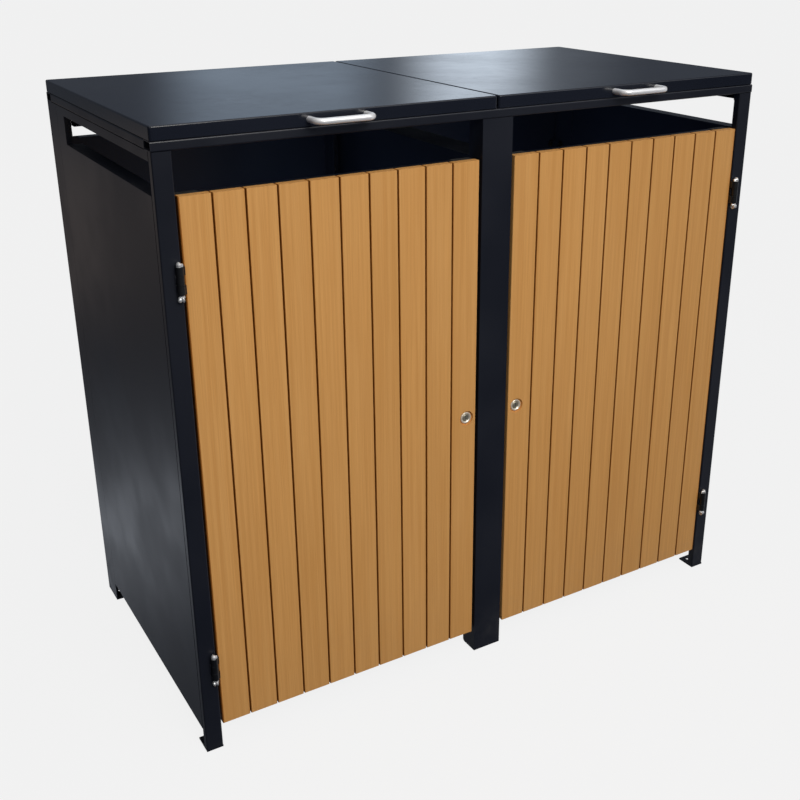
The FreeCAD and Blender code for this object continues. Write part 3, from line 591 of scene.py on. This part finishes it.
# %% Mix the bare metals
def bare_metal(name, body, tarnish, roughness, stretch, tarnish_share, line_height, metallic):
    """Uncoated metal: two colours, a range of roughness, and the direction of the tool lines."""
    metal, net = new_material(name)
    marks = use_group(net, lines, Across_X=stretch[0], Across_Y=stretch[1], Across_Z=stretch[2])
    skin = use_group(net, powder, Ripple_Size=0.0015, Cloud_Size=0.02)
    edges = use_group(net, edge_wear_and_highlight, Reach=0.0006, Patch_Size=0.01, Cover=0.6)
    dulled = math_node(net, "MULTIPLY", skin.outputs["Cloud"], tarnish_share)
    colour = mix_colours(net, dulled, body, tarnish)
    colour = mix_colours(net, math_node(net, "MULTIPLY", edges.outputs[0], 0.5), colour, (0.95, 0.95, 0.96))
    rough = ramp_between(net, marks.outputs["Line"], 0.0, 1.0, roughness[0], roughness[1])
    relief = add_node(net, "Bump", Strength=0.3, Distance=line_height / 1000, Height=marks.outputs["Line"])
    surface(net, colour, rough, relief, metallic)
    return metal


silky_aluminium = bare_metal(
    "silky_aluminium",
    body=(0.97, 0.97, 0.98),
    tarnish=(0.88, 0.89, 0.90),
    roughness=(0.34, 0.46),
    stretch=(20, 900, 900),
    tarnish_share=0.5,
    line_height=0.03,
    metallic=0.5,
)
turned_end = {"stretch": (500, 60, 500), "tarnish_share": 0.4, "line_height": 0.01}
lock_chrome = bare_metal(
    "lock_chrome",
    body=(0.92, 0.84, 0.70),
    tarnish=(0.66, 0.58, 0.46),
    roughness=(0.30, 0.42),
    metallic=0.6,
    **turned_end,
)
plug_nickel = bare_metal(
    "plug_nickel",
    body=(0.44, 0.41, 0.32),
    tarnish=(0.28, 0.26, 0.20),
    roughness=(0.34, 0.46),
    metallic=0.8,
    **turned_end,
)
plated = {"stretch": (400, 400, 400), "tarnish_share": 0.6, "line_height": 0.03}
bright_zinc = bare_metal(
    "bright_zinc",
    body=(0.90, 0.91, 0.92),
    tarnish=(0.68, 0.69, 0.69),
    roughness=(0.26, 0.44),
    metallic=0.7,
    **plated,
)
# painted shade: a dark copy of the bright zinc for the nuts inside the store
shaded_zinc = bare_metal(
    "shaded_zinc",
    body=(0.20, 0.20, 0.20),
    tarnish=(0.12, 0.12, 0.12),
    roughness=(0.45, 0.6),
    metallic=1.0,
    **plated,
)
bare_metals = (silky_aluminium, lock_chrome, plug_nickel, bright_zinc, shaded_zinc)
print("metals:", [metal.name for metal in bare_metals])

# %% [markdown]
# The buffers under the lids are black rubber. Rubber is matt with a fine grain, greyer where it has been
# pressed, so its colour and roughness both follow the cloud of the powder group at a smaller size.

# %% Mix the rubber
black_rubber, net = new_material("black_rubber")
skin = use_group(net, powder, Ripple_Size=0.0008, Cloud_Size=0.01)
edges = use_group(net, edge_wear_and_highlight, Reach=0.0008, Patch_Size=0.006, Cover=0.8)
colour = mix_colours(net, skin.outputs["Cloud"], (0.012, 0.012, 0.012), (0.024, 0.023, 0.022))
colour = mix_colours(net, edges.outputs[0], colour, (0.05, 0.049, 0.047))
rough = ramp_between(net, skin.outputs["Cloud"], 0.0, 1.0, 0.62, 0.85)
relief = add_node(net, "Bump", Strength=0.5, Distance=0.0001, Height=skin.outputs["Ripple"])
surface(net, colour, rough, relief)
print("rubber ready:", black_rubber.name)

# %% [markdown]
# Every CAD node names the finish it was drawn with. One table turns that name into a material of this
# lesson, so no piece keeps the plain colour it was packed with.

# %% Give every CAD piece its finish
finishes = {
    "frame_steel": black_powder,
    "lid_steel": lid_powder,
    "slat": honey,
    "hinge_black": hinge_black,
    "zinc": bright_zinc,
    "handle_metal": silky_aluminium,
    "lock_chrome": lock_chrome,
    "rubber": black_rubber,
}
finished = 0
for piece in nodes.values():
    # the nuts inside the store take the dark zinc copy as painted shade
    nuts_in_shade = piece.name.endswith("nuts")
    for place in piece.material_slots:
        packed = place.material.name if place.material else ""
        finish = next((name for name in finishes if packed.startswith(name)), None)
        if finish:
            place.material = shaded_zinc if nuts_in_shade else finishes[finish]
            finished += 1
print("finished", finished, "of", len(nodes), "pieces")

# %% [markdown]
# No real edge is perfectly sharp: a cut sheet has a burr that the coat rounds off, and a sawn board is
# eased. A Bevel modifier rounds the sharp edges without touching the CAD mesh. The width stays well under
# the sheet thickness, and boards get a wider one than steel.

# %% Ease the sharp edges
def ease_edges(piece, width, segments=2):
    """Rounds the edges where two faces meet at more than 35 degrees."""
    bevel = piece.modifiers.new("eased_edges", "BEVEL")
    bevel.width = width
    bevel.segments = segments
    bevel.limit_method = "ANGLE"
    bevel.angle_limit = math.radians(35)
    bevel.harden_normals = True


board_ease, thick_sheet_ease, thin_sheet_ease, small_ease = 0.0007, 0.0005, 0.0004, 0.0003
eased = {"slat_": board_ease, "panel": thin_sheet_ease, "post": thick_sheet_ease, "rail": thick_sheet_ease}
eased |= {"door_frame": thin_sheet_ease, "lid": thin_sheet_ease}
remade_below = ("handle", "screws", "pins", "plug", "housing")
for name, piece in nodes.items():
    width = next((wide for part, wide in eased.items() if part in name), small_ease)
    if not name.endswith(remade_below):
        ease_edges(piece, width)
print("eased edges on", sum(1 for piece in nodes.values() if piece.modifiers), "pieces")

# %% [markdown]
# The small parts deserve finer shapes than the CAD mesh has. Most of them are round, so a lathe is the
# natural tool: a list of radius and height pairs is spun around an axis, as the real part was turned from
# bar. A Screw modifier does the same, but rings built in bmesh let a later step cut a key slot into them.

# %% Helpers for turned parts
def ring_axes(axis):
    """Two directions that span the ring around an axis; the first one points up when it can."""
    axis = Vector(axis).normalized()
    first = Vector((0, 0, 1)) if abs(axis.z) < 0.9 else Vector((1, 0, 0))
    return axis, first, axis.cross(first)


def join_rings(work, lower, upper):
    """Faces between two rings; a ring of one point closes the part."""
    count = max(len(lower), len(upper))
    for step in range(count):
        after = (step + 1) % count
        corners = [lower[step % len(lower)], lower[after % len(lower)]]
        corners += [upper[after % len(upper)], upper[step % len(upper)]]
        corners = list(dict.fromkeys(corners))
        if len(corners) > 2:
            work.faces.new(corners)


def turned(work, profile, centre, axis, segments=36, closed=False, shape=None):
    """Spins (radius, height) pairs in millimetres around an axis; shape can limit the radius."""
    axis, first, second = ring_axes(axis)
    rings = []
    for radius, height in profile:
        base = Vector(centre) + axis * height / 1000
        if radius == 0:
            rings.append([work.verts.new(base)])
            continue
        ring = []
        for step in range(segments):
            angle = 2 * math.pi * step / segments
            reach = min(radius, shape(angle)) if shape else radius
            outward = first * math.cos(angle) + second * math.sin(angle)
            ring.append(work.verts.new(base + outward * reach / 1000))
        rings.append(ring)
    for lower, upper in zip(rings, rings[1:]):
        join_rings(work, lower, upper)
    if closed:
        join_rings(work, rings[-1], rings[0])
    return rings[-1]


def cut_recess(work, rim, axis, shape, depth):
    """Fills the end face inside a rim and sinks a recess into it; shape gives its radius at each angle."""
    axis, first, second = ring_axes(axis)
    middle = sum((vertex.co for vertex in rim), Vector()) / len(rim)
    mouth, bed = [], []
    for step in range(len(rim)):
        angle = 2 * math.pi * step / len(rim)
        spot = middle + (first * math.cos(angle) + second * math.sin(angle)) * shape(angle) / 1000
        mouth.append(work.verts.new(spot))
        bed.append(work.verts.new(spot - axis * depth / 1000))
    join_rings(work, rim, mouth)
    join_rings(work, mouth, bed)
    join_rings(work, bed, [work.verts.new(middle - axis * depth / 1000)])


def slot_shape(half_length, half_width):
    """The outline of a rounded slot, as a radius at each angle."""

    def radius(angle):
        along = abs(math.cos(angle)) / half_length
        across = abs(math.sin(angle)) / half_width
        return (along**8 + across**8) ** (-1 / 8)

    return radius


def make_piece(name, build, finish, body, replaced=()):
    """Runs a builder on an empty mesh, shades the result, and lets it ride on its body."""
    work = bmesh.new()
    build(work)
    bmesh.ops.recalc_face_normals(work, faces=work.faces)
    mesh = bpy.data.meshes.new(name)
    work.to_mesh(mesh)
    work.free()
    mesh.shade_smooth()
    mesh.set_sharp_from_angle(angle=math.radians(38))
    mesh.materials.append(finish)
    piece = bpy.data.objects.new(name, mesh)
    scene.collection.objects.link(piece)
    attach(piece, body)
    if replaced:
        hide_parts(*replaced)
    print(name, "faces:", len(mesh.polygons))
    return piece


# %% [markdown]
# Screws and pins come many to a node in the CAD. To put a finer one in the place of each, the separate
# solids of a node are found by following their edges from point to point, and each gives its own box.

# %% Find the separate solids of a node
def separate_boxes(node):
    """The lowest and highest corner of each separate solid of a CAD node."""
    mesh = nodes[node].data
    leader = list(range(len(mesh.vertices)))

    def lead(index):
        while leader[index] != index:
            leader[index] = leader[leader[index]]
            index = leader[index]
        return index

    for edge in mesh.edges:
        leader[lead(edge.vertices[0])] = lead(edge.vertices[1])
    groups = {}
    for vertex in mesh.vertices:
        groups.setdefault(lead(vertex.index), []).append(vertex.co)
    boxes = []
    for points in groups.values():
        low = Vector([min(point[i] for point in points) for i in range(3)])
        high = Vector([max(point[i] for point in points) for i in range(3)])
        boxes.append((low, high))
    return boxes


pin_boxes = separate_boxes("hinge_pins")
print("pins:", len(pin_boxes), "screws in a door:", len(separate_boxes("left_slat_screws")))

# %% [markdown]
# A hinge pin has a domed head at one end, and at the other it was pressed over a collar and left with a
# tapered tip. The head shows white against the black hinge, so the dome gets many rings. Door pins stand
# upright; lid pins lie along the back with their heads outward.

# %% Turn the hinge pins
shank, head, head_height, tail_height = 3.0, 5.1, 4.0, 7.0


def hinge_pin(work, low, high):
    """One pin between the ends of its box."""
    upright = high.z - low.z > high.x - low.x
    middle = (low + high) / 2
    if upright:
        axis, length = Vector((0, 0, 1)), high.z - low.z
    else:
        axis, length = Vector((math.copysign(1, middle.x), 0, 0)), high.x - low.x
    foot = middle - axis * length / 2
    top = length * 1000
    tapered_tip = [(0, 0), (1.5, 0.1), (1.9, 0.7), (2.6, 3.4), (2.9, 4.0)]
    collar = [(3.9, 4.3), (4.3, 4.9), (4.2, tail_height), (shank, tail_height)]
    head_rim = [(shank, top - head_height), (4.8, top - head_height), (head, top - 3.7)]
    ball = (head**2 + 3.7**2) / (2 * 3.7)
    dome = []
    for tilt in range(1, 8):
        angle = math.asin(head / ball) * (1 - tilt / 8)
        dome.append((ball * math.sin(angle), top - ball * (1 - math.cos(angle))))
    turned(work, tapered_tip + collar + head_rim + dome + [(0, top)], foot, axis)


def all_pins(work):
    """Every pin of the doors and lids."""
    for low, high in pin_boxes:
        hinge_pin(work, low, high)


make_piece("domed_hinge_pins", all_pins, bright_zinc, "frame", ["hinge_pins"])

# %% [markdown]
# The slats are held from behind by pan head screws with a cross recess, and the handles from inside the
# lids by the same kind. The head is turned and its end face gets a recess whose outline is two slots at
# right angles.

# %% Drive the screws
def cross_recess(angle):
    """Two slots at right angles."""
    one = slot_shape(2.0, 0.42)
    return max(one(angle), one(angle + math.pi / 2))


def pan_head_screw(work, low, high, head_height=2.4):
    """A screw along +Y that fills its box; the head is at the high end."""
    middle = (low + high) / 2
    centre = Vector((middle.x, high.y, middle.z))
    radius = (high.x - low.x) / 2 * 1000
    length = (high.y - low.y) * 1000
    thread = [(0, -length), (1.2, -length), (1.8, -length + 1.5), (1.8, -head_height)]
    pan = [(radius, -head_height), (radius, -head_height * 0.7), (radius * 0.93, -head_height * 0.38)]
    pan += [(radius * 0.8, -head_height * 0.14), (radius * 0.68, 0)]
    rim = turned(work, thread + pan, centre, (0, 1, 0), segments=24)
    cut_recess(work, rim, (0, 1, 0), cross_recess, 1.3)


def screw_set(node):
    """A builder that puts a pan head screw in each solid of a node."""

    def build(work):
        for low, high in separate_boxes(node):
            pan_head_screw(work, low, high)

    return build


for hand in ("left", "right"):
    for held, body in (("slat", "_door"), ("handle", "_lid")):
        node = f"{hand}_{held}_screws"
        make_piece(f"{hand}_{held}_pan_heads", screw_set(node), bright_zinc, hand + body, [node])

# %% [markdown]
# Each lid has a bow handle: one silver rod with two tight bends, its ends set square on the skirt. A
# curve with a round bevel would do, but a swept mesh keeps the rings even through the bends and can carry
# a weld's ripple in the next step, so one sweep serves both.

# %% Bend the lid handles
def swept(work, path, radius_at, segments=24):
    """Carries a ring along a line of points; radius_at gives its radius in metres at each share."""
    rings = []
    first = None
    for index, spot in enumerate(path):
        ahead = (path[min(index + 1, len(path) - 1)] - path[max(index - 1, 0)]).normalized()
        first = ahead.orthogonal() if first is None else first
        first = (first - ahead * first.dot(ahead)).normalized()
        second = ahead.cross(first)
        radius = radius_at(index / (len(path) - 1))
        ring = []
        for step in range(segments):
            angle = 2 * math.pi * step / segments
            outward = first * math.cos(angle) + second * math.sin(angle)
            ring.append(work.verts.new(spot + outward * radius))
        rings.append(ring)
    for lower, upper in zip(rings, rings[1:]):
        join_rings(work, lower, upper)
    work.faces.new(rings[0])
    work.faces.new(rings[-1])


def bow_path(low, high, bend, steps=14):
    """The middle line of a bow handle that fills its box."""
    rod = (high.z - low.z) / 2
    x0, x1, y0, y1, z = low.x + rod, high.x - rod, low.y + rod, high.y, (low.z + high.z) / 2
    path = [Vector((x0, y1, z)), Vector((x0, y1 - 0.002, z))]
    for step in range(steps + 1):
        angle = math.pi / 2 * step / steps
        path.append(Vector((x0 + bend * (1 - math.cos(angle)), y0 + bend * (1 - math.sin(angle)), z)))
    for step in range(steps + 1):
        angle = math.pi / 2 * (1 - step / steps)
        path.append(Vector((x1 - bend * (1 - math.cos(angle)), y0 + bend * (1 - math.sin(angle)), z)))
    path += [Vector((x1, y1 - 0.002, z)), Vector((x1, y1, z))]
    return path, rod


bow_bend = 0.013


def bow_handle(node):
    """A builder for the handle that stands in for a CAD node."""

    def build(work):
        path, rod = bow_path(*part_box(node), bow_bend)
        swept(work, path, lambda share: rod, segments=32)

    return build


for hand in ("left", "right"):
    node = hand + "_lid_handle"
    bow = bow_handle(node)
    make_piece(hand + "_bow_handle", bow, silky_aluminium, hand + "_lid", [node])

# %% [markdown]
# A cam lock is a turned chrome housing with a rolled rim, a nut that clamps it behind the door, and a
# plug with a key slot. The rim rolls in towards the plug and leaves a narrow dark ring around it. The
# housing and nut are one piece on the door; the plug turns, so it is a piece of its own.

# %% Turn the locks
def hexagon_shape(flats):
    """The outline of a hexagon nut, as a radius at each angle."""
    return lambda angle: flats / 2 / math.cos((angle + math.pi / 6) % (math.pi / 3) - math.pi / 6)


def lock_builder(hand):
    """The housing with its thread, and its nut."""
    low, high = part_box(hand + "_lock_housing")
    plug_low, plug_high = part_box(hand + "_lock_plug")
    centre = Vector(((plug_low.x + plug_high.x) / 2, low.y, (plug_low.z + plug_high.z) / 2))
    depth = (high.y - low.y) * 1000

    def build(work):
        bore = [(6.55, -1.9), (6.55, -depth), (9.4, -depth)]
        thread = []
        for turn_number in range(4):
            start = -depth + 0.5 + turn_number * 1.25
            thread += [(10.0, start), (10.0, start + 0.4), (9.4, start + 0.7)]
        barrel = [(10.0, -depth + 5.8), (10, -2.5), (10.9, -2.5), (11, -2.3)]
        rolled_rim = [(11, -1.2), (10.8, -0.6), (10.3, -0.15), (9.7, 0), (8.9, -0.05), (8.2, -0.3)]
        rolled_rim += [(7.7, -0.75), (7.35, -1.2), (6.9, -1.45)]
        turned(work, bore + thread + barrel + rolled_rim, centre, (0, -1, 0), segments=56, closed=True)
        nut_face = -(depth - 6)
        nut = [(10.05, nut_face), (12.6, nut_face), (15.5, nut_face - 0.9), (15.5, nut_face - 4.1)]
        nut += [(12.6, nut_face - 5), (10.05, nut_face - 5)]
        turned(work, nut, centre, (0, -1, 0), segments=60, closed=True, shape=hexagon_shape(26))

    return build


def plug_builder(hand):
    """The plug, with a stepped face and its key slot."""
    low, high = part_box(hand + "_lock_plug")
    centre = Vector(((low.x + high.x) / 2, low.y, (low.z + high.z) / 2))
    depth = (high.y - low.y) * 1000

    def build(work):
        profile = [(0, -depth + 10), (2.05, -depth + 10), (2.05, -depth)]
        profile += [(6.2, -depth), (6.5, -depth + 0.4)]
        profile += [(6.5, -0.5), (6.15, -0.1), (5.8, 0), (5.1, 0), (4.85, -0.3), (4.5, -0.35)]
        rim = turned(work, profile, centre, (0, -1, 0), segments=56)
        cut_recess(work, rim, (0, -1, 0), slot_shape(3.4, 0.75), 3.0)

    return build


for hand in ("left", "right"):
    housing, plug = hand + "_lock_housing", hand + "_lock_plug"
    rim_name, plug_name, slot = hand + "_lock_rim_and_nut", hand + "_key_plug", "lock_chrome"
    make_piece(rim_name, lock_builder(hand), lock_chrome, hand + "_door", [housing])
    make_piece(plug_name, plug_builder(hand), plug_nickel, hand + "_lock", [plug])

# %% [markdown]
# Steel frames are welded, and each weld shows as a low bead, rippled where the drops froze, under the
# same black coat. Beads join the posts to their foot plates, the hinge knuckles to the posts, and the
# rails of each door frame to its uprights. A swept tube with a radius that swells and shrinks along its
# length is enough, half sunk in the corner that it fills.

# %% Lay the weld beads
def bead_line(start, end, ripple=0.0021):
    """Points along a straight weld, and its rippling radius."""
    start, end = Vector(start), Vector(end)
    count = max(12, int((end - start).length / ripple * 6))
    return [start.lerp(end, step / count) for step in range(count + 1)], (end - start).length / ripple


def weld(work, start, end, radius):
    """One bead; it narrows at both ends."""
    path, ripples = bead_line(start, end)

    def radius_at(share):
        taper = min(1.0, share * ripples / 1.5 + 0.25, (1 - share) * ripples / 1.5 + 0.25)
        return radius * taper * (0.88 + 0.12 * abs(math.sin(math.pi * share * ripples)))

    swept(work, path, radius_at, segments=10)


thin_bead, foot_bead, foot_top = 0.0014, 0.0016, 0.0034
post_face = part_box("left_front_post")[0].y
post_lip = post_face + 0.0153


def frame_welds(work):
    """Feet and hinge knuckles of the fixed frame."""
    for hand, sign in (("left", -1), ("right", 1)):
        low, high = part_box(hand + "_front_post")
        outer, inner = (low.x, high.x) if sign < 0 else (high.x, low.x)
        step = 0.003 * -sign
        weld(work, (outer + step, post_lip, foot_top), (inner - step, post_lip, foot_top), foot_bead)
        low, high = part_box(hand + "_back_post")
        outer = low.x if sign < 0 else high.x
        inside = outer - sign * 0.0023
        weld(work, (inside, low.y + 0.004, foot_top), (inside, high.y - 0.006, foot_top), 0.0015)
    for low, high in separate_boxes("door_hinge_knuckles"):
        outer = low.x if low.x < 0 else high.x
        y = post_face - 0.0005
        weld(work, (outer, y, low.z + 0.001), (outer, y, high.z - 0.001), thin_bead)


make_piece("frame_weld_beads", frame_welds, black_powder, "frame")


def door_welds(hand):
    """Rails to uprights on the back of a door frame."""
    low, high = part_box(hand + "_door_frame")
    rails = sorted({round((one.z + two.z) / 2, 4) for one, two in separate_boxes(hand + "_slat_screws")})

    def build(work):
        for edge in (low.x + 0.040, high.x - 0.040):
            for rail in rails:
                y = high.y + 0.0001
                weld(work, (edge, y, rail - 0.017), (edge, y, rail + 0.017), thin_bead)

    return build


for hand in ("left", "right"):
    make_piece(hand + "_door_weld_beads", door_welds(hand), black_powder, hand + "_door")

# %% [markdown]
# The open ends of the door uprights are closed with pressed-in plastic caps, so that no rain stands in
# the tube. A cap is a low pillow with rounded corners: one outline, set in a little at each of a few
# heights.

# %% Press in the tube caps
def pillow_cap(work, centre, up):
    """A crowned cap; up is +1 for the top of a tube and -1 for its bottom."""
    rings = []
    for inset, height in ((0.0, -0.0004), (0.0, 0.0005), (0.0006, 0.0010), (0.0022, 0.0013)):
        ring = []
        for turn_x, turn_y, start in ((1, 1, 0), (-1, 1, 90), (-1, -1, 180), (1, -1, 270)):
            for step in range(6):
                angle = math.radians(start + step * 18)
                reach = max(corner - inset, 0.0003)
                x = turn_x * (half_x - corner) + reach * math.cos(angle)
                y = turn_y * (half_y - corner) + reach * math.sin(angle)
                ring.append(work.verts.new(centre + Vector((x, y, up * height))))
        rings.append(ring)
    for lower, upper in zip(rings, rings[1:]):
        join_rings(work, lower, upper)
    work.faces.new(rings[0])
    work.faces.new(rings[-1])


half_x, half_y, corner, tube_middle = 0.0192, 0.0092, 0.0024, 0.020


def door_caps(hand):
    """A cap on both ends of the two uprights."""
    low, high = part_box(hand + "_door_frame")
    middle_y = (low.y + high.y) / 2

    def build(work):
        for x in (low.x + tube_middle, high.x - tube_middle):
            for z, up in ((high.z, 1), (low.z, -1)):
                pillow_cap(work, Vector((x, middle_y, z)), up)

    return build


for hand in ("left", "right"):
    make_piece(hand + "_door_tube_caps", door_caps(hand), black_rubber, hand + "_door")

# %% [markdown]
# Last, the view layer is updated.

# %% Update the view layer
bpy.context.view_layer.update()
